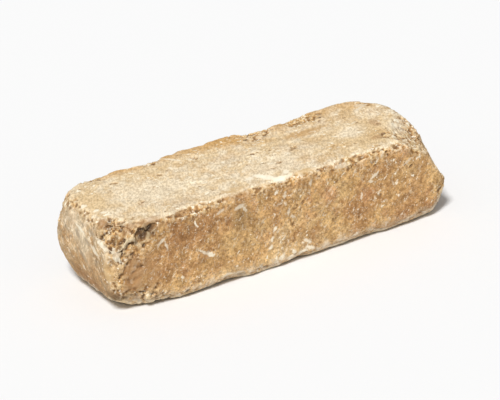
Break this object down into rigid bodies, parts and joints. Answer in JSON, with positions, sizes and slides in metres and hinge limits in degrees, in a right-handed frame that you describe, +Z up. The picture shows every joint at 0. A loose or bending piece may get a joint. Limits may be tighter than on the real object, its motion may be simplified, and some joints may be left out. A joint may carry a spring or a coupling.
{
  "type": "garden wall block",
  "caption": "Tumbled concrete garden wall block in sandstone buff: one solid casting with flat beds for stacking, worn rounded edges, knocked corners and chipped arrises.",
  "frame": {"origin": "middle of the bottom bed face, at the level the block stands on", "axes": "+X along the block's length to the right as seen from the front, +Y from the front face to the back face, +Z up from the bottom bed to the top bed"},
  "size_m": [0.29, 0.11, 0.07],
  "materials": {
    "concrete": "matte"
  },
  "bodies": {
    "root": {"wall_block": "concrete"}
  },
  "joints": []
}
